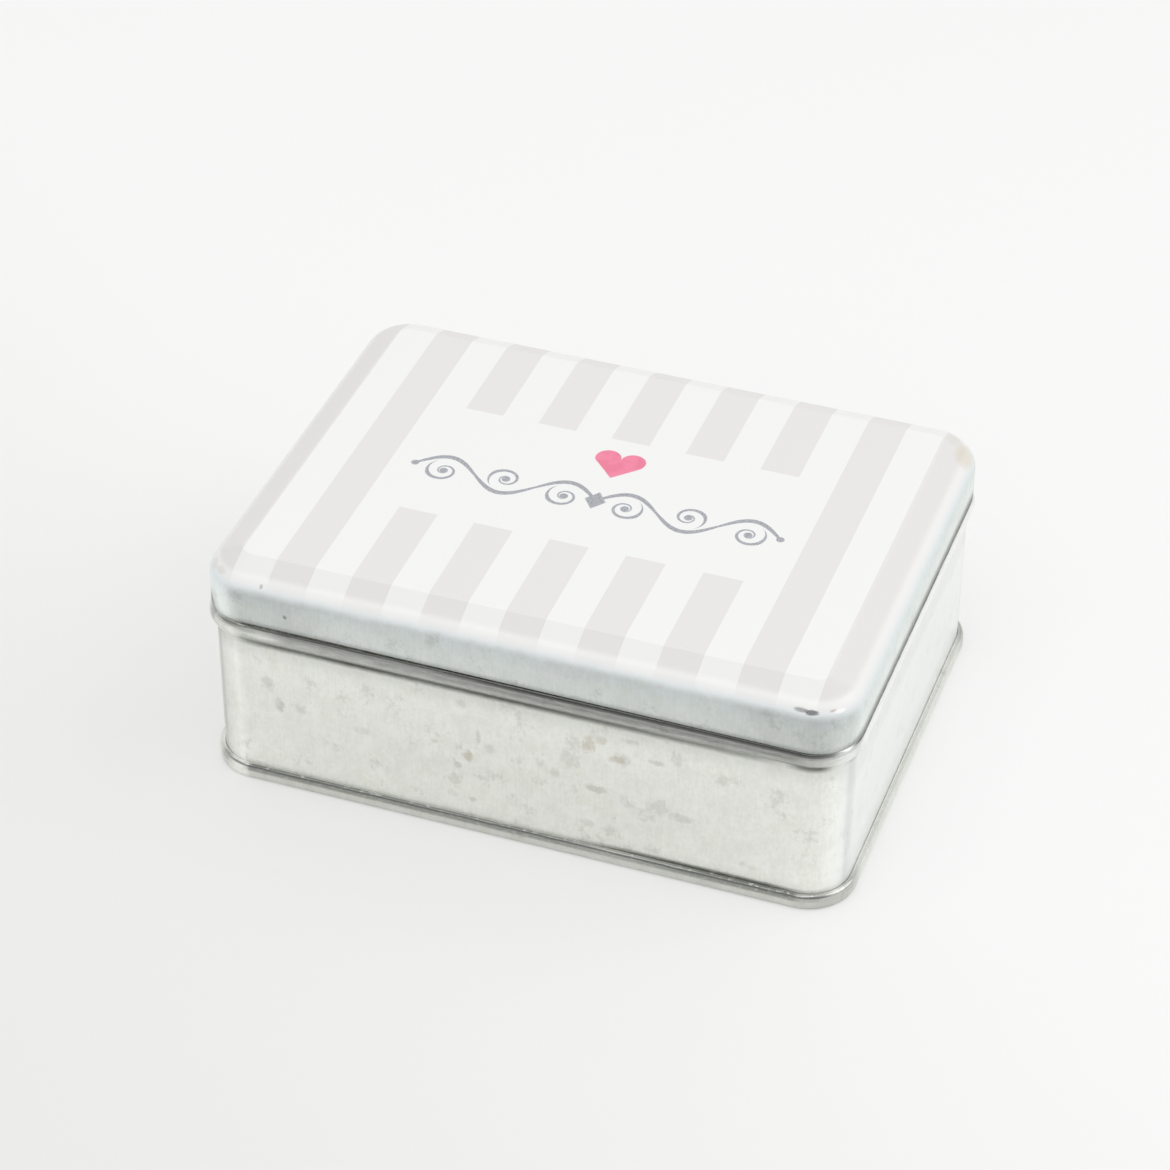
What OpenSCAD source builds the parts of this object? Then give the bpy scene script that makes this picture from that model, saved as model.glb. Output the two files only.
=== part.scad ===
// Rectangular tin box: a seamed body with a rolled stop bead, and a lid that lifts off.
// The foot stands on z = 0, the box is centred on the Z axis and its front faces -Y.

/* [Box] */
// Outside width of the wall, left to right
wall_w = 127.4; // [90:0.2:180]
// Outside depth of the wall, front to back
wall_d = 93.6; // [70:0.2:140]
// Height of the closed box
box_h = 50; // [42:0.5:80]
// Outside radius of the wall's upright corners
corner_r = 8.5; // [8:0.5:14]
// Thickness of the sheet metal
sheet = 0.28; // [0.22:0.01:0.3]

/* [Bottom seam] */
// Height of the rolled seam round the foot
seam_h = 3.3; // [3:0.1:5]
// Play between the folded layers of the seam
seam_gap = 0.15; // [0.1:0.01:0.2]
// Depth that the seam's round underside is pressed flat
foot_flat = 0.06; // [0.03:0.01:0.1]
// Height of the sunk floor's underside above the table
floor_h = 2.6; // [2.2:0.1:4]
// Radius of the bend between the floor and its upright rim
floor_bend_r = 0.8; // [0.5:0.1:1.2]
// Outside radius of the tight bend where the seam's round top meets the wall
nip_r = 0.34; // [0.32:0.01:0.45]

/* [Stop bead] */
// How far the bead stands out from the wall
bead_out = 1.3; // [1.1:0.05:1.8]
// Height of the bead, measured on the wall
bead_h = 3.9; // [3:0.1:5]
// Gap between the bead and the lower edge of the closed lid
lid_gap = 0.8; // [0.3:0.05:0.9]

/* [Neck] */
// Outside radius of the rolled top edge
rim_r = 0.75; // [0.6:0.05:1]
// Length of the rolled edge's inner leg
rim_leg = 0.6; // [0.3:0.1:1.5]
// Play between the rolled edge and the lid's shoulder, which rests on it
rim_gap = 0.25; // [0.2:0.01:0.4]

/* [Side seam] */
// Width of the folded seam in the back wall
lock_w = 3.6; // [2.5:0.1:6]
// Width of the groove that shows outside, along one edge of the fold
groove_w = 0.35; // [0.2:0.05:0.6]
// Depth of that groove
groove_depth = 0.1; // [0.05:0.01:0.15]

/* [Lid] */
// Height of the lid, from the skirt's lower edge to the raised panel
lid_h = 11.6; // [10:0.2:16]
// How far the skirt's outside stands out from the wall
skirt_out = 0.85; // [0.8:0.01:1]
// Height of the hem folded inside the skirt's lower edge
hem_h = 2.2; // [1.5:0.1:4]
// Radius of the shoulder over the skirt
shoulder_r = 5; // [3:0.1:5.5]
// Width of the sloped band between the shoulder and the flat panel
band_w = 4.1; // [2:0.1:4.2]
// Slope of that band, in degrees
band_slope = 21; // [12:1:30]
// Radius of the edge between the band and the flat panel
panel_edge_r = 2; // [1:0.1:3]

/* [Hidden] */
$fn = 96;

bare_colour = [0.74, 0.75, 0.73];
seam_colour = [0.64, 0.65, 0.64];
print_colour = [0.94, 0.94, 0.94];

// How far a cutting shape runs past what it cuts
overrun = 1;

// Layers of the seam, counted outwards: the wall is 0 and the floor's rim is -1
layer = sheet + seam_gap;
// Bend of the wall's flange from layer 0 to layer 2, and the floor's bend round it
flange_bend_r = layer + sheet / 2;
foot_bend_r = 2 * layer + sheet / 2;
bend_n = layer - sheet / 2;
foot_z = foot_bend_r - foot_flat;
// Hook that turns from layer 3 over the flange and down into layer 1
hook_r = 2 * layer + sheet - nip_r;
hook_n = 3 * layer - hook_r;
hook_z = seam_h - hook_r;
nip_z = seam_h - nip_r;
// Edge of the floor's flat part, and its upper face
floor_n = -layer - floor_bend_r;
floor_z = floor_h + sheet;

// Lid, from the skirt's lower edge to the panel
skirt_z = box_h - lid_h;
shoulder_n = skirt_out - shoulder_r;
band_low_n = shoulder_n + shoulder_r * sin(band_slope);
panel_n = band_low_n - band_w;
band_top_n = panel_n + panel_edge_r * sin(band_slope);
band_top_z = box_h - panel_edge_r * (1 - cos(band_slope));
band_low_z = band_top_z - (band_low_n - band_top_n) * tan(band_slope);
shoulder_z = band_low_z - shoulder_r * cos(band_slope);

// Bead: an arc whose chord is bead_h long, just below the lid's hem
bead_r = (bead_h * bead_h / 4 + bead_out * bead_out) / (2 * bead_out);
bead_n = bead_out - bead_r;
hem_n = skirt_out - sheet;
bead_z = skirt_z + sheet - leg(bead_r + sheet + lid_gap, hem_n - bead_n);

// Rolled top edge, inside the lid's shoulder
rim_n = -rim_r;
rim_z = shoulder_z + leg(shoulder_r - sheet - rim_gap - rim_r, rim_n - shoulder_n);

// The other leg of a right triangle
function leg(long, short) = sqrt(long * long - short * short);

// Profiles are drawn with x pointing out of the box, 0 on the wall's outside, and y up.

// An upright stretch of one layer, from z0 to z1, whose outside is at n
module upright(n, z0, z1) {
    translate([n - sheet, z0]) square([sheet, z1 - z0]);
}

// A bend in the sheet about the point n, z, with outer radius r, from one angle to another
module bend(n, z, r, from, to) {
    steps = 4;
    translate([n, z]) intersection() {
        difference() {
            circle(r);
            circle(r - sheet);
        }
        polygon(concat([[0, 0]], [
            for (i = [0:steps])
                let (a = from + (to - from) * i / steps)
                    2 * r * [cos(a), sin(a)]
        ]));
    }
}

// Runs a profile round the box, straight along the sides and turned at the corners
module round_the_box() {
    for (turn = [0:3]) {
        out = (turn % 2 == 0 ? wall_w : wall_d) / 2;
        side = (turn % 2 == 0 ? wall_d : wall_w) / 2 - corner_r;
        rotate(90 * turn) {
            translate([out, side, 0]) rotate([90, 0, 0])
                linear_extrude(2 * side) children();
            translate([out - corner_r, side, 0]) rotate_extrude(angle = 90)
                translate([corner_r, 0]) children();
        }
    }
}

// Flat sheet that closes a profile whose inner end is at n, with its top at z
module plate(n, z) {
    w = wall_w - 2 * corner_r;
    d = wall_d - 2 * corner_r;
    r = corner_r + n;
    translate([0, 0, z - sheet]) linear_extrude(sheet) {
        square([w + 2 * r, d], center = true);
        square([w, d + 2 * r], center = true);
        for (x = [-w / 2, w / 2], y = [-d / 2, d / 2])
            translate([x, y]) circle(r);
    }
}

module wall_profile() {
    bead_reach = bead_h / 2 - sheet / 2;
    // flange, hooked into the bottom seam
    upright(2 * layer, foot_z, hook_z);
    bend(bend_n, foot_z, flange_bend_r, 180, 360);
    // wall below and above the bead
    upright(0, foot_z, bead_z - bead_reach);
    upright(0, bead_z + bead_reach, rim_z);
    // bead
    translate([bead_n, bead_z]) intersection() {
        difference() {
            circle(bead_r);
            circle(bead_r - sheet);
        }
        translate([-sheet - bead_n, -bead_r]) square([bead_out + sheet + overrun, 2 * bead_r]);
    }
    // rolled top edge
    bend(rim_n, rim_z, rim_r, 0, 180);
    upright(-2 * rim_r + sheet, rim_z - rim_leg, rim_z);
}

module bottom_profile() {
    difference() {
        union() {
            bend(floor_n, floor_z - floor_bend_r, floor_bend_r, 0, 90);
            upright(-layer, foot_z, floor_z - floor_bend_r);
            bend(bend_n, foot_z, foot_bend_r, 180, 360);
            upright(3 * layer, foot_z, hook_z);
            bend(hook_n, hook_z, hook_r, 0, 90);
            bend(hook_n, nip_z, nip_r, 90, 180);
            upright(layer, foot_z, nip_z);
        }
        // the flat that the box stands on
        translate([bend_n - foot_bend_r, -overrun]) square([2 * foot_bend_r, overrun]);
    }
}

module lid_profile() {
    // hem, folded flat against the skirt, with a round lower edge
    hem_z = skirt_z + sheet;
    intersection() {
        translate([hem_n, hem_z]) circle(sheet);
        translate([hem_n - sheet, skirt_z]) square([2 * sheet, sheet]);
    }
    upright(hem_n, hem_z, hem_z + hem_h);
    // skirt and shoulder
    upright(skirt_out, hem_z, shoulder_z);
    bend(shoulder_n, shoulder_z, shoulder_r, 0, 90 - band_slope);
    // sloped band and the edge of the panel
    under = sheet * [sin(band_slope), cos(band_slope)];
    low = [band_low_n, band_low_z];
    top = [band_top_n, band_top_z];
    polygon([low, top, top - under, low - under]);
    bend(panel_n, box_h - panel_edge_r, panel_edge_r, 90 - band_slope, 90);
}

module body_wall() color(bare_colour) {
    lock_z = bead_z - bead_h / 2;
    difference() {
        round_the_box() wall_profile();
        // groove of the side seam
        translate([-lock_w / 2, wall_d / 2 - groove_depth, seam_h])
            cube([groove_w, groove_depth + overrun, lock_z - seam_h]);
    }
    // the three other layers of the side seam, folded to the inside
    translate([-lock_w / 2, wall_d / 2 - 4 * sheet, seam_h])
        cube([lock_w, 3 * sheet, lock_z - seam_h]);
}

module bottom_panel() color(seam_colour) {
    round_the_box() bottom_profile();
    plate(floor_n, floor_z);
}

module lid() color(print_colour) {
    round_the_box() lid_profile();
    plate(panel_n, box_h);
}

body_wall();
bottom_panel();
lid();
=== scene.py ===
import math

import bmesh
import bpy
from mathutils import Matrix, Vector, noise


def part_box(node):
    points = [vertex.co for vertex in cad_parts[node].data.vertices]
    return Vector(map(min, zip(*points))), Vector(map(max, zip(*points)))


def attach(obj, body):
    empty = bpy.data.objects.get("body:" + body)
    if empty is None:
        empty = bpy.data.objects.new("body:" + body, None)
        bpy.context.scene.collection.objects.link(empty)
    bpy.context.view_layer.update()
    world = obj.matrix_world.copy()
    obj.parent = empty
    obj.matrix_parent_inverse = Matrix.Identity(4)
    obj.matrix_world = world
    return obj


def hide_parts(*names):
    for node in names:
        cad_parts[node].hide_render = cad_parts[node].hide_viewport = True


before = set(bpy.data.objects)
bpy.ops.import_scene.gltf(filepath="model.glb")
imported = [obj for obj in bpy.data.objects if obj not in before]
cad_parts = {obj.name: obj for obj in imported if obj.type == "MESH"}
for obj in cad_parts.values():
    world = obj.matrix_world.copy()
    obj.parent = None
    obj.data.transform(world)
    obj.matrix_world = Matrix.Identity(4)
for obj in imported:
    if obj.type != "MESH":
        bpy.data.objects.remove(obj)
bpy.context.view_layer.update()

mm = 0.001
upAxis = Vector((0, 0, 1))
depthAxis = Vector((0, 1, 0))


# Camera, fitted to the straight edges of the tin in the photograph
shot = {
    "azimuth": 19.44,  # degrees round the tin from its front, towards its right
    "elevation": 37.28,
    "roll": 0.315,
    "distance": 0.724965,
    "rise": 0.021819,  # how far the line of sight passes above the tin's origin
    "side": -0.002756,
    "lens": 110.886,
    "sensor": 36,
}


def placeCamera():
    turn = math.radians(shot["azimuth"])
    tilt = math.radians(shot["elevation"])
    ahead = Vector((
        -math.sin(turn) * math.cos(tilt),
        math.cos(turn) * math.cos(tilt),
        -math.sin(tilt),
    ))
    level = Vector((math.cos(turn), math.sin(turn), 0))
    right = Matrix.Rotation(-math.radians(shot["roll"]), 3, ahead) @ level
    up = right.cross(ahead)
    spot = up * shot["rise"] + right * shot["side"] - ahead * shot["distance"]
    data = bpy.data.cameras.new("camera")
    data.lens = shot["lens"]
    data.sensor_width = shot["sensor"]
    data.clip_start = 0.01
    camera = bpy.data.objects.new("camera", data)
    bpy.context.scene.collection.objects.link(camera)
    camera.matrix_world = Matrix((
        (right.x, up.x, -ahead.x, spot.x),
        (right.y, up.y, -ahead.y, spot.y),
        (right.z, up.z, -ahead.z, spot.z),
        (0, 0, 0, 1),
    ))
    bpy.context.scene.camera = camera


placeCamera()
print("camera placed")


# Sheet metal. Sizes here are in millimetres, as a tinsmith would give them
tin = {
    "sheet": 0.28,
    "cornerRadius": 8.5,
    "beadOut": 1.3,
    "cornerSteps": 28,
    "weld": 0.01,  # points closer than this become one
    "smoothBelow": 40,  # edges bent by more degrees than this stay sharp
}

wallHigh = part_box("body_wall")[1] / mm
halfWidth = wallHigh.x - tin["beadOut"]
halfDepth = wallHigh.y - tin["beadOut"]


def drawSheet(bm, start, heading, strokes):
    # Draws both faces of a bent sheet side by side. X runs out from the wall and z runs up.
    # A stroke is a length and its steps, or a radius, its steps and a turn to the left.
    place = Vector((start[0], 0, start[1])) * mm
    ahead = Matrix.Rotation(-math.radians(heading), 3, depthAxis) @ Vector((1, 0, 0))
    half = ahead.cross(depthAxis) * tin["sheet"] / 2 * mm
    first = [bmesh.ops.create_vert(bm, co=place + off)["vert"][0] for off in (half, -half)]
    tip = first
    for size, steps, *turn in strokes:
        size *= mm
        if turn:
            angle = math.radians(turn[0])
            centre = place + ahead.cross(depthAxis) * math.copysign(size, angle)
            spun = Matrix.Rotation(-angle, 3, depthAxis)
            made = bmesh.ops.spin(
                bm, geom=tip, cent=centre, axis=-depthAxis, angle=angle, steps=steps)
            place = centre + spun @ (place - centre)
            ahead = spun @ ahead
        else:
            made = bmesh.ops.spin(
                bm, geom=tip, cent=place, axis=-depthAxis, angle=0,
                dvec=ahead * size / steps, steps=steps)
            place = place + ahead * size
        tip = [v for v in made["geom_last"] if isinstance(v, bmesh.types.BMVert)]
    return first, tip


def sweepRound(bm, sideStep):
    # Takes the drawn section from the middle of the right end to the middle of the back,
    # and mirrors that quarter twice
    radius = tin["cornerRadius"]
    ahead = (halfDepth - radius) * mm
    across = (halfWidth - radius) * mm
    bmesh.ops.translate(bm, verts=bm.verts, vec=(halfWidth * mm, 0, 0))
    tip = bm.verts[:] + bm.edges[:]
    steps = round(ahead / mm / sideStep)
    tip = bmesh.ops.spin(
        bm, geom=tip, cent=(0, 0, 0), axis=upAxis, angle=0,
        dvec=(0, ahead / steps, 0), steps=steps)["geom_last"]
    tip = bmesh.ops.spin(
        bm, geom=tip, cent=(across, ahead, 0), axis=upAxis,
        angle=math.radians(90), steps=tin["cornerSteps"])["geom_last"]
    steps = round(across / mm / sideStep)
    bmesh.ops.spin(
        bm, geom=tip, cent=(0, 0, 0), axis=upAxis, angle=0,
        dvec=(-across / steps, 0, 0), steps=steps)
    for axis in "XY":
        bmesh.ops.mirror(
            bm, geom=bm.verts[:] + bm.edges[:] + bm.faces[:], matrix=Matrix.Identity(4),
            merge_dist=tin["weld"] * mm, axis=axis)
    bmesh.ops.remove_doubles(bm, verts=bm.verts, dist=tin["weld"] * mm)


def outward(spot):
    # How far a point lies outside the wall's outer face in millimetres, and which way is out
    radius = tin["cornerRadius"]
    arm = Vector((
        math.copysign(max(abs(spot.x) / mm - halfWidth + radius, 0), spot.x),
        math.copysign(max(abs(spot.y) / mm - halfDepth + radius, 0), spot.y),
        0,
    ))
    return arm.length - radius, arm.normalized()


def finishPiece(bm, name, node, body, material):
    bmesh.ops.recalc_face_normals(bm, faces=bm.faces)
    for face in bm.faces:
        face.smooth = True
    mesh = bpy.data.meshes.new(name)
    bm.to_mesh(mesh)
    bm.free()
    mesh.set_sharp_from_angle(angle=math.radians(tin["smoothBelow"]))
    piece = bpy.data.objects.new(name, mesh)
    bpy.context.scene.collection.objects.link(piece)
    mesh.materials.append(material)
    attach(piece, body)
    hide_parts(node)
    return piece


# Seam at the foot: folded layers of sheet, a little apart
seam = {
    "height": 3.3,
    "gap": 0.15,
    "footFlat": 0.06,
    "floorHeight": 2.6,
    "floorBend": 0.8,
    "hook": 0.84,  # round top of the seam, at the middle of its sheet
    "nip": 0.15,  # tight fold where that top meets the wall
    "crimp": 0.05,  # how far the rolled top wanders in and out
    "crimpFrom": 1.6,  # height where the wandering begins, and over how much it grows
    "crimpGrowth": 0.9,
    "middle": 0.4,  # corner radius of the hole that is filled last
    "step": 1.1,
}
sheet = tin["sheet"]
layer = sheet + seam["gap"]
footHeight = 2 * layer + sheet / 2 - seam["footFlat"]
hookHeight = seam["height"] - seam["hook"] - sheet / 2

# Wall of the body, from the flange in the seam up to the rolled rim
wall = {
    "beadRadius": 2.11,
    "beadFillet": 0.34,
    "beadHeight": 35.79,
    "rimRadius": 0.75,
    "rimHeight": 45.41,
    "rimLeg": 0.6,
    "lockWidth": 3.6,
    "lockLayers": 3,
    "lockReach": (3.3, 33.4),  # lowest and highest point of the folded seam
    "grooveWidth": 0.35,
    "grooveDepth": 0.1,
    "foldSoft": 0.12,  # width of the slope down either side of the fold
    "step": 2.2,
}


def foldSideSeam(bm):
    # The folded seam up the back: a flat rib inside, and outside a groove along one edge
    half = wall["lockWidth"] / 2
    groove = wall["grooveWidth"]
    low, high = wall["lockReach"]
    soft = wall["foldSoft"]
    slack = tin["weld"]
    cuts = [(x, 0) for x in (-half - soft, -half, -half + soft, -half + groove,
                             -half + groove + soft, half - soft, half)]
    cuts += [(z, 2) for z in (low, low + soft, high - soft, high)]
    for place, way in cuts:
        faces = [f for f in bm.faces if f.calc_center_median().y > 0 and
                 abs(f.calc_center_median().x) < 4 * half * mm]
        near = dict.fromkeys(part for f in faces for part in (f, *f.edges, *f.verts))
        spot = Vector((0, 0, 0))
        spot[way] = place * mm
        ahead = Vector((0, 0, 0))
        ahead[way] = 1
        bmesh.ops.bisect_plane(bm, geom=list(near), dist=0.001 * mm, plane_co=spot, plane_no=ahead)
    for vert in bm.verts:
        x, y, z = vert.co / mm
        if y < 0 or abs(x) > half + slack or not low + slack < z < high - slack:
            continue
        if y > halfDepth - sheet / 2:
            if -half - slack < x < -half + groove + slack:
                vert.co.y -= wall["grooveDepth"] * mm
        elif y > halfDepth - 1.5 * sheet and abs(x) < half - slack:
            vert.co.y -= wall["lockLayers"] * sheet * mm


def makeBodyWall(material):
    beadArc = wall["beadRadius"] - sheet / 2
    reach = beadArc + wall["beadFillet"]
    lean = math.acos(1 - tin["beadOut"] / reach)
    beadHalf = reach * math.sin(lean)
    lean = math.degrees(lean)
    below = wall["beadHeight"] - beadHalf - footHeight
    above = wall["rimHeight"] - wall["beadHeight"] - beadHalf
    bm = bmesh.new()
    first, last = drawSheet(bm, (2 * layer - sheet / 2, hookHeight), -90, (
        (hookHeight - footHeight, 3),
        (layer, 12, -180),
        (below, 14),
        (wall["beadFillet"], 6, -lean),
        (beadArc, 18, 2 * lean),
        (wall["beadFillet"], 6, -lean),
        (above, 4),
        (wall["rimRadius"] - sheet / 2, 12, 180),
        (wall["rimLeg"], 2),
    ))
    for end in (first, last):
        bmesh.ops.contextual_create(bm, geom=end)
    sweepRound(bm, wall["step"])
    foldSideSeam(bm)
    return finishPiece(bm, "bodyShell", "body_wall", "box", material)


def makeBottom(material):
    inner = seam["middle"] - tin["cornerRadius"]
    flat = -layer - seam["floorBend"] - inner
    drop = seam["floorHeight"] + sheet - seam["floorBend"] - footHeight
    bm = bmesh.new()
    _, last = drawSheet(bm, (inner, seam["floorHeight"] + sheet / 2), 0, (
        (flat, 4),
        (seam["floorBend"] - sheet / 2, 6, -90),
        (drop, 2),
        (2 * layer, 18, 180),
        (hookHeight - footHeight, 4),
        (seam["hook"], 12, 90),
        (seam["nip"], 6, 90),
        (hookHeight + seam["hook"] - seam["nip"] - footHeight, 2),
    ))
    bmesh.ops.contextual_create(bm, geom=last)
    sweepRound(bm, seam["step"])
    bmesh.ops.holes_fill(bm, edges=[e for e in bm.edges if e.is_boundary])
    for vert in bm.verts:
        vert.co.z = max(vert.co.z, 0)
        out, way = outward(vert.co)
        above = vert.co.z / mm - seam["crimpFrom"]
        if out > 0.2 and above > 0:
            share = min(above / seam["crimpGrowth"], 1)
            ripple = noise.noise(vert.co / mm * 0.42) + 0.6 * noise.noise(vert.co / mm * 1.1)
            vert.co -= way * seam["crimp"] * mm * share * max(ripple + 0.7, 0)
    return finishPiece(bm, "bottomSeam", "bottom_panel", "box", material)


# Lid, from its flat panel over the sloped band and shoulder to the hem
lid = {
    "top": 50,
    "skirtBottom": 37.99,
    "lean": 0.006,  # the skirt hangs a little lower towards the right
    "skirtOut": 0.85,
    "shoulderRadius": 5,
    "slope": 21,
    "bandWidth": 4.1,
    "panelEdge": 2,
    "hemFold": 0.16,
    "hemHeight": 2.2,
    "middle": 0.4,  # corner radius of the hole that is filled last
    "leanOver": 3,  # height below the shoulder over which the lean comes in
    "step": 1.6,
}


def makeLid(material):
    slope = math.radians(lid["slope"])
    inner = lid["middle"] - tin["cornerRadius"]
    half = sheet / 2
    shoulder = lid["shoulderRadius"] - half
    edge = lid["panelEdge"] - half
    shoulderOut = lid["skirtOut"] - lid["shoulderRadius"]
    bandLow = shoulderOut + lid["shoulderRadius"] * math.sin(slope)
    panel = bandLow - lid["bandWidth"]
    bandTop = panel + lid["panelEdge"] * math.sin(slope)
    rise = lid["panelEdge"] * (1 - math.cos(slope)) + (bandLow - bandTop) * math.tan(slope)
    shoulderHeight = lid["top"] - rise - lid["shoulderRadius"] * math.cos(slope)
    bm = bmesh.new()
    _, last = drawSheet(bm, (inner, lid["top"] - half), 0, (
        (panel - inner, 3),
        (edge, 5, -lid["slope"]),
        ((bandLow - bandTop) / math.cos(slope), 4),
        (shoulder, 18, lid["slope"] - 90),
        (shoulderHeight - lid["skirtBottom"] - half - lid["hemFold"], 6),
        (lid["hemFold"], 10, -180),
        (lid["hemHeight"], 3),
    ))
    bmesh.ops.contextual_create(bm, geom=last)
    sweepRound(bm, lid["step"])
    bmesh.ops.holes_fill(bm, edges=[e for e in bm.edges if e.is_boundary])
    for vert in bm.verts:
        share = min(max((shoulderHeight - vert.co.z / mm) / lid["leanOver"], 0), 1)
        vert.co.z -= lid["lean"] * vert.co.x * share
    return finishPiece(bm, "printedLid", "lid", "lid", material)


# Node trees, written as sums
class Field:
    # One output socket of a node
    def __init__(self, socket):
        self.socket = socket

    def __add__(self, other):
        return sums("ADD", self, other)

    def __radd__(self, other):
        return sums("ADD", other, self)

    def __sub__(self, other):
        return sums("SUBTRACT", self, other)

    def __rsub__(self, other):
        return sums("SUBTRACT", other, self)

    def __mul__(self, other):
        return sums("MULTIPLY", self, other)

    def __rmul__(self, other):
        return sums("MULTIPLY", other, self)

    def __truediv__(self, other):
        return sums("DIVIDE", self, other)

    def __rtruediv__(self, other):
        return sums("DIVIDE", other, self)

    def __pow__(self, other):
        return sums("POWER", self, other)

    def __abs__(self):
        return sums("ABSOLUTE", self)


def fill(socket, value):
    if isinstance(value, Field):
        socket.id_data.links.new(value.socket, socket)
    else:
        socket.default_value = value


def sums(operation, *terms):
    tree = next(t for t in terms if isinstance(t, Field)).socket.id_data
    node = tree.nodes.new("ShaderNodeMath")
    node.operation = operation
    for socket, term in zip(node.inputs, terms):
        fill(socket, term)
    return Field(node.outputs[0])


def lowest(first, *rest):
    for term in rest:
        first = sums("MINIMUM", first, term)
    return first


def highest(first, *rest):
    for term in rest:
        first = sums("MAXIMUM", first, term)
    return first


class Finish:
    # The nodes of a material or of the world
    def __init__(self, owner):
        self.owner = owner
        owner.use_nodes = True
        self.tree = owner.node_tree
        self.tree.nodes.clear()

    def node(self, kind, settings, sockets, output=0):
        node = self.tree.nodes.new("ShaderNode" + kind)
        for name, value in settings.items():
            if name == "stops":
                ramp = node.color_ramp.elements
                while len(ramp) < len(value):
                    ramp.new(0.5)
                for stop, (position, colour) in zip(ramp, value):
                    stop.position = position
                    stop.color = colour
            else:
                setattr(node, name, value)
        for name, value in sockets.items():
            fill(node.inputs[name], value)
        return Field(node.outputs[output]) if node.outputs else node

    def place(self, scale=(1, 1, 1), shift=(0, 0, 0)):
        # The point on the piece in millimetres, stretched for a pattern
        point = self.node("TexCoord", {}, {}, 3)
        return self.node("Mapping", {"vector_type": "POINT"}, {
            "Vector": point,
            "Location": shift,
            "Scale": [s / mm for s in scale],
        })

    def axes(self, point):
        node = self.tree.nodes.new("ShaderNodeSeparateXYZ")
        fill(node.inputs[0], point)
        return [Field(out) for out in node.outputs]

    def cloud(self, scale, detail=2, rough=0.5, shift=(0, 0, 0)):
        # Soft noise from 0 to 1, scale in patches per millimetre
        return self.node("TexNoise", {}, {
            "Vector": self.place(scale, shift), "Scale": 1.0, "Detail": detail, "Roughness": rough,
        })

    def step(self, value, low, high, start=0.0, end=1.0):
        # Goes smoothly from start to end as the value goes from low to high
        return self.node("MapRange", {"interpolation_type": "SMOOTHSTEP"}, {
            "Value": value, "From Min": low, "From Max": high, "To Min": start, "To Max": end,
        })

    def band(self, value, low, high, soft):
        # 1 between low and high
        rise = self.step(value, low - soft, low + soft)
        return rise * self.step(value, high - soft, high + soft, 1.0, 0.0)

    def curve(self, value, points):
        # Runs straight from point to point, each a value and the level there
        first, last = points[0][0], points[-1][0]
        share = (value - first) / (last - first)
        return self.node("ValToRGB", {"stops": [
            ((at - first) / (last - first), grey(level)) for at, level in points
        ]}, {"Fac": share})

    def blend(self, share, under, over, mode="MIX"):
        node = self.tree.nodes.new("ShaderNodeMix")
        node.data_type = "RGBA"
        node.blend_type = mode
        fill(node.inputs["Factor"], share)
        for socket, value in ((node.inputs[6], under), (node.inputs[7], over)):
            fill(socket, value)
        return Field(node.outputs[2])

    def surface(self, sockets):
        shader = self.node("BsdfPrincipled", {}, sockets)
        self.node("OutputMaterial", {}, {"Surface": shader})
        return self.owner


def tone(red, green, blue):
    # A colour as it is seen on the screen, from 0 to 255, for a node
    def linear(part):
        part /= 255
        return part / 12.92 if part <= 0.04045 else ((part + 0.055) / 1.055) ** 2.4
    return (linear(red), linear(green), linear(blue), 1)


def grey(level):
    return (level, level, level, 1)


def aroundWall(finish, x, y, tilt):
    # The angle round the corners, 0 on the front and back and 90 on the two ends, how far out
    # from the wall's face a point is, and 1 where the surface looks out of the tin.
    # Tilt is how much looking up counts as looking out.
    across = highest(abs(x) - (halfWidth - tin["cornerRadius"]), 0.0)
    along = highest(abs(y) - (halfDepth - tin["cornerRadius"]), 0.0)
    turn = sums("ARCTAN2", across, along) * math.degrees(1)
    out = (across ** 2 + along ** 2) ** 0.5 - tin["cornerRadius"]
    facing = finish.axes(finish.node("NewGeometry", {}, {}, "Normal"))
    reach = facing[0] * sums("SIGN", x) * across + facing[1] * sums("SIGN", y) * along
    outer = finish.step(reach + facing[2] * tilt, -0.5, 0.5)
    return turn, out, outer


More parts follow.
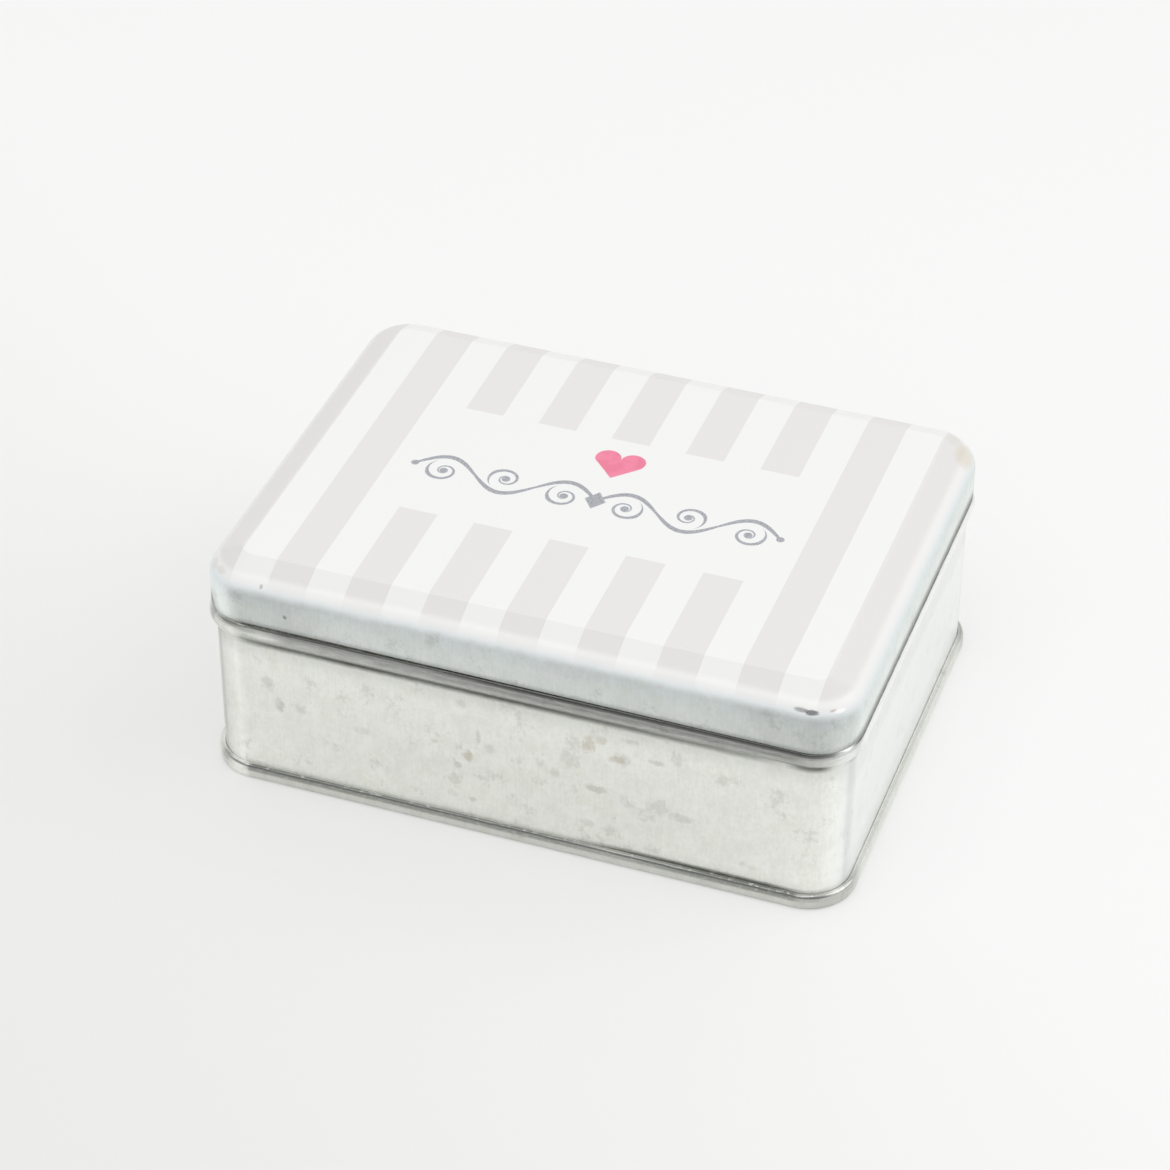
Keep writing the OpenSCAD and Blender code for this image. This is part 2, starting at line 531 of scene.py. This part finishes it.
# Bare tinplate, on the wall, the seam and the lid's skirt
metal = {
    "pale": tone(252, 253, 249),
    "deep": tone(241, 243, 236),
    "rosy": tone(252, 249, 250),
    "cream": tone(254, 254, 251),
    "cool": tone(250, 252, 255),
    "mark": tone(206, 207, 199),
    # dark grey used as painted shade in creases, gaps and the side seam's groove, as painted dark
    # reflection on the seam's rolled top, and where the floor turns down to the seam
    "shadeAndGrime": tone(70, 72, 66),
    "tan": tone(200, 188, 168),
    "rough": 0.26,
    "relief": 0.05,  # depth of the grain in millimetres
    "flecks": (  # grey flecks seen on the front: x, z, half width, half height, strength
        (-50.7, 24.6, 1.1, 1.2, 0.5), (-48.4, 19.4, 0.9, 1.5, 0.8), (-31.4, 17.9, 1.8, 0.8, 0.3),
        (-11.8, 15.1, 0.7, 0.7, 0.65), (-7.7, 23.2, 0.5, 1.5, 0.6), (-5.4, 20.8, 1.1, 1.0, 0.4),
        (-7.2, 13.2, 1.4, 0.5, 0.35), (-11.0, 30.1, 1.1, 0.9, 0.4), (-8.9, 7.2, 0.7, 0.6, 0.6),
        (7.7, 18.6, 0.9, 1.0, 0.4), (10.7, 22.8, 1.8, 2.2, 0.45), (15.6, 17.0, 2.2, 0.8, 0.65),
        (21.2, 16.1, 0.6, 1.2, 0.35), (22.6, 30.3, 1.6, 0.6, 0.5), (28.0, 26.7, 1.6, 0.6, 0.6),
        (28.6, 16.2, 1.6, 1.8, 0.4), (33.0, 14.7, 2.3, 0.9, 0.5), (40.4, 26.3, 1.3, 1.3, 0.5),
        (14.0, 8.1, 1.4, 1.0, 0.35), (44.8, 6.9, 0.6, 0.6, 0.6),
    ),
    "stains": (  # tan stains, given in the same way
        (14.2, 27.4, 1.3, 1.7, 0.55), (16.6, 29.0, 1.2, 0.9, 0.4), (19.7, 25.3, 1.5, 0.8, 0.55),
        (-9.9, 17.7, 1.0, 1.3, 0.6),
    ),
}


def tinplate(finish, outer, relief=1.0):
    # Colour and bump of tinplate with cloudy grain, short streaks and small flecks, and the
    # mottle and the grain, which painted shade and print follow
    mottle = finish.cloud((0.3, 0.3, 0.24), 4, 0.72)
    streaks = finish.cloud((2.2, 2.2, 0.22), 2, 0.6)
    grain = finish.cloud((1.3, 1.3, 1.0), 3, 0.7, (7, 3, 1))
    share = finish.step(mottle * 0.44 + streaks * 0.24 + grain * 0.32, 0.39, 0.62)
    colour = finish.blend(share, metal["deep"], metal["pale"])
    tint = finish.cloud((0.12, 0.12, 0.16), 3, 0.6, (11, 5, 2))
    for low, high, shade in ((0.52, 0.64, metal["rosy"]), (0.46, 0.36, metal["cream"])):
        colour = finish.blend(finish.step(tint, low, high) * 0.5, colour, shade, "MULTIPLY")
    cell = finish.node("TexVoronoi", {"feature": "F1"}, {
        "Vector": finish.place((0.17, 0.17, 0.2)), "Scale": 1.0, "Randomness": 1.0})
    flecks = finish.step(cell + (grain - 0.5) * 0.9, 0.38, 0.14) * finish.step(mottle, 0.55, 0.42)
    colour = finish.blend(flecks * outer * 0.4, colour, metal["mark"])
    bump = finish.node("Bump", {}, {
        "Strength": 0.12, "Distance": metal["relief"] * mm,
        "Height": (streaks * 0.5 + grain * 0.5) * relief,
    })
    return colour, bump, mottle, grain


def speckle(finish, x, z, marks):
    # Small ragged marks on the front: place, half sizes and strength of each
    ragged = (finish.cloud((0.7, 0.7, 0.6), 4, 0.85, (4, 4, 6)) - 0.5) * 6.5
    found = []
    for across, up, wide, high, strength in marks:
        spot = ((x - across) / wide) ** 2 + ((z - up) / high) ** 2 + ragged
        found.append(finish.step(spot, 1.8, 0.0) * strength)
    return highest(*found)


def byCorner(finish, turn, x, left, right):
    # A level that changes round the corners, given from 0 (front) to 90 degrees (end)
    side = finish.step(x, -10, 10)
    return finish.blend(side, finish.curve(turn, left), finish.curve(turn, right))


def byFront(finish, onSide, x, front, side):
    # A level that changes along the front, and stays the same on the two ends
    return finish.blend(onSide, finish.curve(x, front), grey(side))


# Painted shade, painted reflection and a pale bloom on the wall, as pairs of a place and a level.
# The place is x in millimetres along the front, or degrees round a corner, 0 being the front.
wallLevels = {
    "shadeUnderBead": (  # painted shade in the crease under the bead
        (-58, 0.05), (-56, 0.25), (-54.5, 0.6), (-49, 0.85), (-43, 0.8), (-33, 0.95), (-20, 0.82),
        (-3, 0.9), (18, 0.78), (38, 0.65), (46, 0.5), (52, 0.15), (55.5, 0.75), (58.9, 0.85),
        (59.8, 0.6), (61, 0.05), (62, 0)),
    "shadeUnderBeadSide": 0.45,
    "shadeOnBead": (  # painted shade on top of the bead, under the lid's hem
        (-58, 0.05), (-56, 0.3), (-54, 0.85), (-20, 0.8), (0, 0.65), (50, 0.65), (57, 0.65),
        (59.5, 0.25), (61, 0.4), (63, 0.15)),
    "shadeOnBeadSide": 0.85,
    "bloom": ((-64, 0.8), (10, 0.8), (22, 0), (50, 0), (58, 0.5), (64, 0.5)),
    "bloomSide": 0.5,
    # painted shade on the bead, round the corners
    "beadLeft": ((0, 0.66), (3, 0.9), (10, 1), (90, 0.95)),
    "beadRight": ((0, 0.6), (14, 0.68), (24, 0.76), (33, 0.86), (45, 0.98), (60, 1), (90, 0.98)),
    "sheenLeft": (
        (0, 0.9), (6, 0.93), (12, 1), (18, 0.95), (30, 0.9), (39, 0.84), (46, 0.66), (60, 0.76),
        (74, 0.76), (90, 0.9)),
    "sheenRight": (
        (0, 0.9), (24, 0.9), (36, 0.94), (55, 1), (62, 0.98), (70, 0.84), (76, 0.86), (90, 1)),
}


def paintWall():
    levels = wallLevels
    finish = Finish(bpy.data.materials.new("wallTinplate"))
    x, y, z = finish.axes(finish.place())
    turn, _, outer = aroundWall(finish, x, y, 0)
    onSide = finish.step(turn, 50, 80)
    front = finish.step(y, -halfDepth + 6, -halfDepth + 1) * outer
    right = finish.step(x, halfWidth - 3, halfWidth) * outer
    colour, bump, mottle, _ = tinplate(finish, outer, 1 - right * 0.6)
    colour = finish.blend(right * 0.5, colour, metal["cool"])
    for marks, shade in ((metal["flecks"], metal["mark"]), (metal["stains"], metal["tan"])):
        colour = finish.blend(speckle(finish, x, z, marks) * front, colour, shade)
    # painted shade in the crease under the bead, and on top of it where the lid comes down over it
    uneven = mottle - 0.5
    under = byFront(finish, onSide, x, levels["shadeUnderBead"], levels["shadeUnderBeadSide"])
    under *= finish.step(z + uneven * 0.7, 32.2, 33.6) * finish.step(z, 35.3, 34.3)
    under *= 1 - finish.band(x, 26, 53, 4) * finish.step(z, 33.8, 34.1)
    past = finish.step(x, -22, 2)
    above = byFront(finish, onSide, x, levels["shadeOnBead"], levels["shadeOnBeadSide"])
    above *= finish.band(z + uneven * 0.3, 37.3 - past * 0.14, 37.6 + past * 0.3, 0.12)
    colour = finish.blend(highest(under, above) * outer, colour, metal["shadeAndGrime"])
    # painted shade on the bead, strongest along the front, where it is also streaky, with a darker
    # band along its upper part; the top of the left end is left unshaded
    beadShade = byCorner(finish, turn, x, levels["beadLeft"], levels["beadRight"])
    beadShade = finish.blend(finish.step(x, -45, -51) * finish.step(z, 35, 36.4), beadShade, grey(1))
    upper = finish.step(z, 35.5, 36.2) * finish.step(z, 36.8, 36.3) * 0.3
    upper *= finish.step(x, -50, -5) * finish.step(x, 57, 52)
    drawn = finish.cloud((0.25, 0.25, 3), 3, 0.7, (5, 2, 9))
    beadShade *= 1 - (upper + (drawn - 0.5) * 0.9) * front
    onBead = finish.band(z, 33.9, 37.6, 0.3) * outer
    colour = finish.blend(onBead, colour, beadShade, "MULTIPLY")
    # painted reflection: brightness of the whole wall, round its corners and up its sides, with
    # painted darker patches on the right end
    sheen = byCorner(finish, turn, x, levels["sheenLeft"], levels["sheenRight"])
    sheen *= finish.step(z, 15, 4) * 0.06 + 1 - finish.step(z, 28, 33) * (1 - onSide) * 0.14
    cloudy = finish.band(z, 26, 33, 2) + finish.step(z, 10, 6.5)
    sheen *= 1 - right * cloudy * mottle * 0.13
    colour = finish.blend(outer, colour, sheen, "MULTIPLY")
    # a pale bloom, less like metal: over the foot, on the right side and on the bead's crest
    bloom = byFront(finish, onSide, x, levels["bloom"], levels["bloomSide"])
    bloom *= finish.step(z, 5.6, 3.9)
    crest = finish.band(z, 36.85, 37.25, 0.1) * finish.step(x, 0, -24) * finish.step(x, -60, -54)
    bloom = highest(bloom, right * finish.step(z, 33.4, 32.4) * 0.4, crest * front * 0.5) * outer
    # painted shade along the side seam's groove
    middle = (wall["grooveWidth"] - wall["lockWidth"]) / 2
    groove = finish.step(abs(x - middle), 0.32, 0.12)
    groove *= finish.step(y, 0, 1) * finish.step(z, 33.6, 33.2) * outer
    colour = finish.blend(groove * 0.6, colour, metal["shadeAndGrime"])
    # the lid's hem has scuffed the neck
    scuff = finish.step(finish.cloud((1.6, 1.6, 0.12), 3, 0.7, (2, 8, 4)), 0.52, 0.66)
    scuff *= finish.step(z, 38.3, 39) * finish.step(z, 45.6, 44.8) * outer
    colour = finish.blend(scuff * 0.5, colour, metal["mark"])
    return finish.surface({
        "Base Color": colour, "Metallic": 1 - bloom, "Normal": bump,
        "Roughness": mottle * 0.1 + metal["rough"] - onBead * 0.12 + scuff * 0.12,
    })


# The same for the seam. The painted dark reflection on its rolled top also has levels by height.
seamLevels = {
    "sheenLeft": (
        (0, 0.76), (4, 0.95), (12, 1), (24, 0.95), (36, 0.76), (44, 0.82), (60, 1), (90, 0.95)),
    "sheenRight": ((0, 0.76), (14, 0.66), (40, 0.64), (70, 0.7), (90, 0.74)),
    "sheenSide": 0.95,
    "shadeUp": (
        (1.8, 0), (2.1, 0.35), (2.35, 0.6), (2.75, 0.6), (2.9, 0.3), (2.98, 0.3), (3.06, 0.65),
        (3.16, 0.86), (3.4, 0.86)),
    "shadeAlong": ((-66, 1), (8, 0.95), (19, 0.7), (30, 0.87), (38, 1), (66, 1)),
    "shadeLeft": (
        (0, 1), (3, 0.4), (10, 0), (24, 0.1), (34, 0.55), (42, 0.5), (50, 0.1), (90, 0.05)),
    "shadeRight": (
        (0, 1), (5, 0.7), (12, 0.4), (26, 0.4), (34, 0.15), (50, 0.1), (76, 0.3), (90, 0.1)),
    "bloom": ((-66, 0.9), (10, 0.9), (20, 0.3), (28, 0.05), (50, 0.05), (57, 0.4), (66, 0.7)),
}


def paintSeam():
    levels = seamLevels
    finish = Finish(bpy.data.materials.new("seamTinplate"))
    x, y, z = finish.axes(finish.place())
    turn, out, outer = aroundWall(finish, x, y, 0)
    colour, bump, mottle, _ = tinplate(finish, outer)
    folded = finish.step(out, -1.1, -0.8)
    # painted reflection: the seam's brightness round the corners and along the ends
    sheen = byCorner(finish, turn, x, levels["sheenLeft"], levels["sheenRight"])
    sheen = finish.blend(finish.step(abs(y), 38.5, 34.5), sheen, grey(levels["sheenSide"]))
    colour = finish.blend(folded, colour, sheen, "MULTIPLY")
    # darker where the floor turns down to the seam
    uneven = mottle - 0.5
    gutter = finish.band(out + uneven * 0.8, -2.2, -0.9, 0.4) * 0.3
    colour = finish.blend(gutter, colour, metal["shadeAndGrime"])
    # painted dark reflection on the rolled top, broken up by small painted glints towards the
    # right
    glint = finish.step(finish.cloud((0.9, 0.9, 2.6), 3, 0.7, (3, 1, 0)), 0.56, 0.64)
    paintedShade = byCorner(finish, turn, x, levels["shadeLeft"], levels["shadeRight"])
    paintedShade *= finish.curve(z + uneven * 0.3, levels["shadeUp"]) * folded
    paintedShade *= finish.curve(x, levels["shadeAlong"]) * (1 - glint * finish.step(x, 40, 58, 0.45, 0.8))
    # the same pale bloom as on the wall lies on its inner edge
    bloom = finish.step(out, 0.6, 0.3) * folded * finish.curve(x, levels["bloom"])
    paintedShade *= 1 - bloom
    colour = finish.blend(paintedShade, colour, metal["shadeAndGrime"])
    dull = highest(paintedShade * finish.step(z, 2.98, 3.1) * 0.7, bloom * 0.8)
    return finish.surface({
        "Base Color": colour, "Metallic": 1 - dull, "Roughness": 0.3 - folded * 0.14,
        "Normal": bump,
    })


# Printing on the lid, in millimetres from the middle of its top
printed = {
    "white": tone(245, 245, 244),
    "stripeInk": tone(233, 231, 230),
    "pitch": 15.33,
    "stripe": 7.84,
    "window": (38.3, 17.7),
    # painted shade for the sloped band at the front
    "bandShade": tone(247, 247, 246),
    "edgeInk": tone(232, 237, 238),
    "skirt": tone(248, 252, 255),
    "skirtHigh": tone(243, 246, 249),
    "marks": (  # middle, half sizes, strength, colour: a chip, specks and stains, a painted glint by the chip and painted shade on the front left corner
        ((54.7, -46.4, 46.85), (1.3, 3, 0.34), 0.6, tone(96, 98, 100)),
        ((56.7, -46.3, 46.68), (1.25, 3, 0.42), 0.8, tone(74, 76, 78)),
        ((60.1, -44.6, 46.85), (0.6, 0.9, 0.24), 0.5, tone(180, 128, 124)),
        # painted highlight: a white glint beside the chip
        ((61.2, -44.1, 46.6), (1.1, 1.3, 0.34), 0.9, tone(255, 255, 255)),
        ((-50.95, -46.5, 47.05), (0.36, 2, 0.36), 0.4, tone(104, 106, 106)),
        ((-45.95, -47.65, 41.9), (0.4, 2, 0.46), 0.65, tone(104, 108, 104)),
        ((62.3, 38.6, 47.6), (2.2, 3.6, 1.9), 0.4, tone(208, 196, 166)),
        ((59.2, 42, 49), (1.6, 2.6, 0.9), 0.2, tone(208, 206, 180)),
        # painted shade on the shoulder at the front left corner, in two parts
        ((-62.1, -42.8, 47.1), (1.0, 1.5, 0.9), 0.22, tone(176, 180, 152)),
        ((-60.2, -44.6, 47.4), (1.6, 1.2, 0.6), 0.22, tone(176, 180, 160)),
    ),
    "heartInk": tone(246, 136, 165),
    "heartDeep": tone(238, 126, 156),
    "heartSpot": (0.25, 5.0),
    "heartLobe": 2.55,  # radius of its two round lobes, and their height above its point
    "heartHigh": 6.25,
    "scrollDark": tone(150, 152, 160),
    "scrollPale": tone(190, 192, 197),
    "scrollLow": -3.0,
    "scrollSpan": 12.4,
    "scrollHigh": 3.9,
    "scrollRuns": 3,  # waves on either side of the middle
    "scrollPen": (0.28, 0.3),  # half width of the stem, and how much more it has at its crests
    "curlRadius": 3.6,
    "curlEye": 0.85,
    "gem": 1.7,
    "tip": 0.8,
    "sheenLeft": ((0, 0.76), (10, 0.86), (18, 0.95), (26, 1), (60, 1), (90, 0.92)),
    "sheenRight": (
        (0, 0.76), (14, 0.68), (22, 0.69), (33, 0.72), (45, 0.76), (60, 0.76), (70, 0.86),
        (79, 0.94), (90, 0.94)),
    "sheenAlong": (
        (-66, 1), (-59, 1), (-55, 0.87), (-45, 0.88), (-33, 1), (38, 0.96), (52, 0.85),
        (58, 0.88), (62, 0.98), (66, 1)),
    # painted shade from the hem: how far up it reaches and how strong it is, round the corners
    "shadeReachLeft": ((0, 0.3), (38, 0.3), (50, 0.84), (90, 0.64)),
    "shadeReachRight": ((0, 0.3), (60, 0.34), (80, 0.64), (90, 0.64)),
    "shadeLeft": ((0, 0.42), (3, 0.36), (12, 0.2), (38, 0.2), (50, 0.9), (90, 0.95)),
    "shadeRight": (
        (0, 0.46), (20, 0.4), (33, 0.2), (48, 0.3), (60, 0.5), (79, 0.8), (90, 0.95)),
}


def drawHeart(x, y):
    # Distance from the outline, below 0 inside. Two round lobes run down to a point.
    u = abs(x - printed["heartSpot"][0])
    v = y - printed["heartSpot"][1]
    lobe = printed["heartLobe"]
    rise = printed["heartHigh"]
    lean = 2 * math.atan(lobe / rise)
    disc = ((u - lobe) ** 2 + (v - rise) ** 2) ** 0.5 - lobe
    side = u * math.cos(lean) - v * math.sin(lean)
    cap = (u - lobe) * math.sin(lean) + (v - rise) * math.cos(lean)
    return lowest(disc, highest(side, cap, v - rise))


def drawScroll(x, y):
    # A running vine: a waved stem with a curl in each hollow, mirrored about the middle
    span = printed["scrollSpan"]
    high = printed["scrollHigh"]
    pen, swell = printed["scrollPen"]
    u = abs(x)
    v = y - printed["scrollLow"]
    beyond = u - printed["scrollRuns"] * span
    phase = u * (math.pi / span)
    rise = sums("SINE", phase)
    slope = sums("COSINE", phase) * (high * math.pi / span)
    stem = abs(v - rise * high) / (slope * slope + 1) ** 0.5 - (abs(rise) * swell + pen)
    # a spiral that widens as it turns away from its eye
    across = sums("FLOORED_MODULO", u, span) - span / 2
    along = v * sums("SIGN", rise) + 0.7
    radius = (across ** 2 + along ** 2) ** 0.5
    angle = sums("ARCTAN2", along, across)
    turns = sums("LOGARITHM", radius / 3.5, math.e) / 1.1 - angle / math.tau
    near = abs(turns - sums("ROUND", turns)) * radius * 1.05
    curl = highest(near - radius * 0.13, radius - printed["curlRadius"], 0.7 - radius)
    curl = lowest(curl, radius - printed["curlEye"])
    vine = highest(lowest(stem, curl), beyond)
    gem = u * 0.8 + abs(v) * 0.6 - printed["gem"]
    tip = (beyond ** 2 + v ** 2) ** 0.5 - printed["tip"]
    return lowest(vine, gem, tip)


def paintLid():
    finish = Finish(bpy.data.materials.new("printedTinplate"))
    x, y, z = finish.axes(finish.place())
    turn, _, outer = aroundWall(finish, x, y, 3)
    bare, bump, mottle, grain = tinplate(finish, outer)
    # ground and stripes
    blur = 0.08
    half = printed["stripe"] / 2
    stripe = finish.step(sums("PINGPONG", x, printed["pitch"] / 2), half + blur, half - blur)
    wide, deep = printed["window"]
    window = finish.step(abs(y), deep + blur, deep - blur) * finish.step(abs(x), wide + 0.1, wide)
    stripe *= 1 - window
    stripe *= finish.step(z + (grain - 0.5) * 0.5, 47.6, 48.5, 0.3, 1.0)
    ink = finish.blend(stripe, printed["white"], printed["stripeInk"])
    # painted shade: the sloped band at the front is painted a little darker than the flat top
    onBand = finish.step(z, 49.92, 49.78) * finish.step(z, 47.9, 48.6)
    onBand *= finish.step(y, -38, -40.5, 0.35, 1.0)
    ink = finish.blend(onBand, ink, printed["bandShade"], "MULTIPLY")
    # heart and scroll
    fleck = finish.cloud((3.2, 3.2, 3.2), 2, 0.6)
    onPanel = finish.step(z, 49.5, 49.7)
    heart = finish.step(drawHeart(x, y) + (mottle - 0.5) * 0.3, 0.09, -0.09)
    pink = finish.blend(finish.step(mottle, 0.4, 0.6), printed["heartInk"], printed["heartDeep"])
    ink = finish.blend(heart * onPanel, ink, pink)
    scroll = finish.step(drawScroll(x, y), blur, -blur)
    glitter = finish.step(fleck, 0.4, 0.62)
    glitter = finish.blend(glitter, printed["scrollDark"], printed["scrollPale"])
    ink = finish.blend(scroll * onPanel, ink, glitter)
    # where the print thins out over the shoulder
    edge = z + (finish.cloud((0.3, 0.3, 0.3), 4, 0.7) - 0.5) * 0.9
    inked = finish.step(edge, 44.7, 46.6) * outer
    ink = finish.blend(finish.step(edge, 47.4, 46.0), ink, printed["edgeInk"])
    # bare skirt, with painted reflection setting its brightness along the front and round the
    # corners
    sheen = byCorner(finish, turn, x, printed["sheenLeft"], printed["sheenRight"])
    along = finish.curve(x, printed["sheenAlong"])
    along = finish.blend(finish.step(y, -40, -30), along, grey(1))
    skirt = finish.blend(finish.step(z, 41.5, 44.5) * 0.6, bare, printed["skirtHigh"], "MULTIPLY")
    for level in (along, printed["skirt"], sheen):
        skirt = finish.blend(1.0, skirt, level, "MULTIPLY")
    bare = finish.blend(outer, bare, skirt)
    # painted shade that rises from the hem
    hem = z + x * lid["lean"] - lid["skirtBottom"] + (grain - 0.5) * 0.4
    reach = byCorner(finish, turn, x, printed["shadeReachLeft"], printed["shadeReachRight"]) * 5
    paintedShade = byCorner(finish, turn, x, printed["shadeLeft"], printed["shadeRight"])
    bare = finish.blend(finish.step(hem, reach, 0.05) * paintedShade, bare, metal["shadeAndGrime"])
    colour = finish.blend(inked, bare, ink)
    # chip, specks and stains, with a painted glint and painted shade
    for spot, sizes, strength, shade in printed["marks"]:
        value = (fleck - 0.5) * 1.6
        for place, centre, size in zip((x, y, z), spot, sizes):
            value += ((place - centre) / size) ** 2
        colour = finish.blend(finish.step(value, 1.7, 0.2) * outer * strength, colour, shade)
    return finish.surface({
        "Base Color": colour, "Metallic": 1 - inked, "Roughness": 0.34, "Normal": bump,
    })


makeBodyWall(paintWall())
makeBottom(paintSeam())
makeLid(paintLid())
print("tin made")


# Studio: pale all round, with a dark room behind the camera that only gloss shows
studio = {
    "floorHalf": 3,
    "floor": tone(250, 250, 249),
    "seenFront": tone(221, 221, 220),
    "seenBack": tone(249, 249, 249),
    "plain": 0.5,  # share of the floor that the camera sees as plain colour
    "sky": 0.75,
    "room": 0.34,
    "roomTurn": -0.5,  # from straight behind the camera, in radians
    "lamps": (  # name, place, size, watts
        ("keyLamp", (0.9, 0.3, 0.95), 1.0, 3.1),
        ("fillLamp", (-0.08, -0.3, 1.05), 0.8, 2.2),
    ),
}


def makeStudio():
    bm = bmesh.new()
    bmesh.ops.create_grid(bm, x_segments=1, y_segments=1, size=studio["floorHalf"])
    mesh = bpy.data.meshes.new("floor")
    bm.to_mesh(mesh)
    bm.free()
    floor = bpy.data.objects.new("floor", mesh)
    bpy.context.scene.collection.objects.link(floor)
    finish = Finish(bpy.data.materials.new("paleFloor"))
    x, y, _ = finish.axes(finish.place())
    matt = finish.node("BsdfPrincipled", {}, {
        "Base Color": studio["floor"], "Roughness": 0.5, "Specular IOR Level": 0.2,
    })
    # the camera sees the floor half lit and half plain, so that shadows stay faint
    seen = finish.step(y + x * 0.6, -215, 60)
    seen = finish.blend(seen, studio["seenFront"], studio["seenBack"])
    plain = finish.node("Emission", {}, {"Color": seen})
    share = finish.node("LightPath", {}, {}, "Is Camera Ray") * studio["plain"]
    finish.node("OutputMaterial", {}, {
        "Surface": finish.node("MixShader", {}, {0: share, 1: matt, 2: plain}),
    })
    mesh.materials.append(finish.owner)
    bpy.context.scene.world = bpy.data.worlds.new("studio")
    finish = Finish(bpy.context.scene.world)
    away = finish.node("TexCoord", {}, {}, 0)
    turn = math.radians(shot["azimuth"]) + studio["roomTurn"]
    towards = finish.node("VectorMath", {"operation": "DOT_PRODUCT"}, {
        0: away, 1: (math.sin(turn), -math.cos(turn), 0)}, 1)
    height = finish.axes(away)[2]
    room = finish.step(towards, 0.1, 0.4) * finish.step(height, 0.9, 0.78)
    room *= finish.step(height, 0.2, 0.45)
    # bounced light comes from all round, so that the floor stays pale
    room *= finish.node("LightPath", {}, {}, "Is Glossy Ray")
    room *= finish.step(finish.node("LightPath", {}, {}, "Diffuse Depth"), 0.6, 0.4)
    glow = finish.blend(room, grey(1), grey(studio["room"]))
    shader = finish.node("Background", {}, {"Color": glow, "Strength": studio["sky"]})
    finish.node("OutputWorld", {}, {"Surface": shader})
    for name, spot, size, power in studio["lamps"]:
        light = bpy.data.lights.new(name, "AREA")
        light.size = size
        light.energy = power
        lamp = bpy.data.objects.new(name, light)
        bpy.context.scene.collection.objects.link(lamp)
        lamp.location = spot
        lamp.rotation_mode = "QUATERNION"
        lamp.rotation_quaternion = (-Vector(spot)).to_track_quat("-Z", "Y")
    bpy.context.scene.view_settings.view_transform = "Standard"


makeStudio()
print("studio lit")
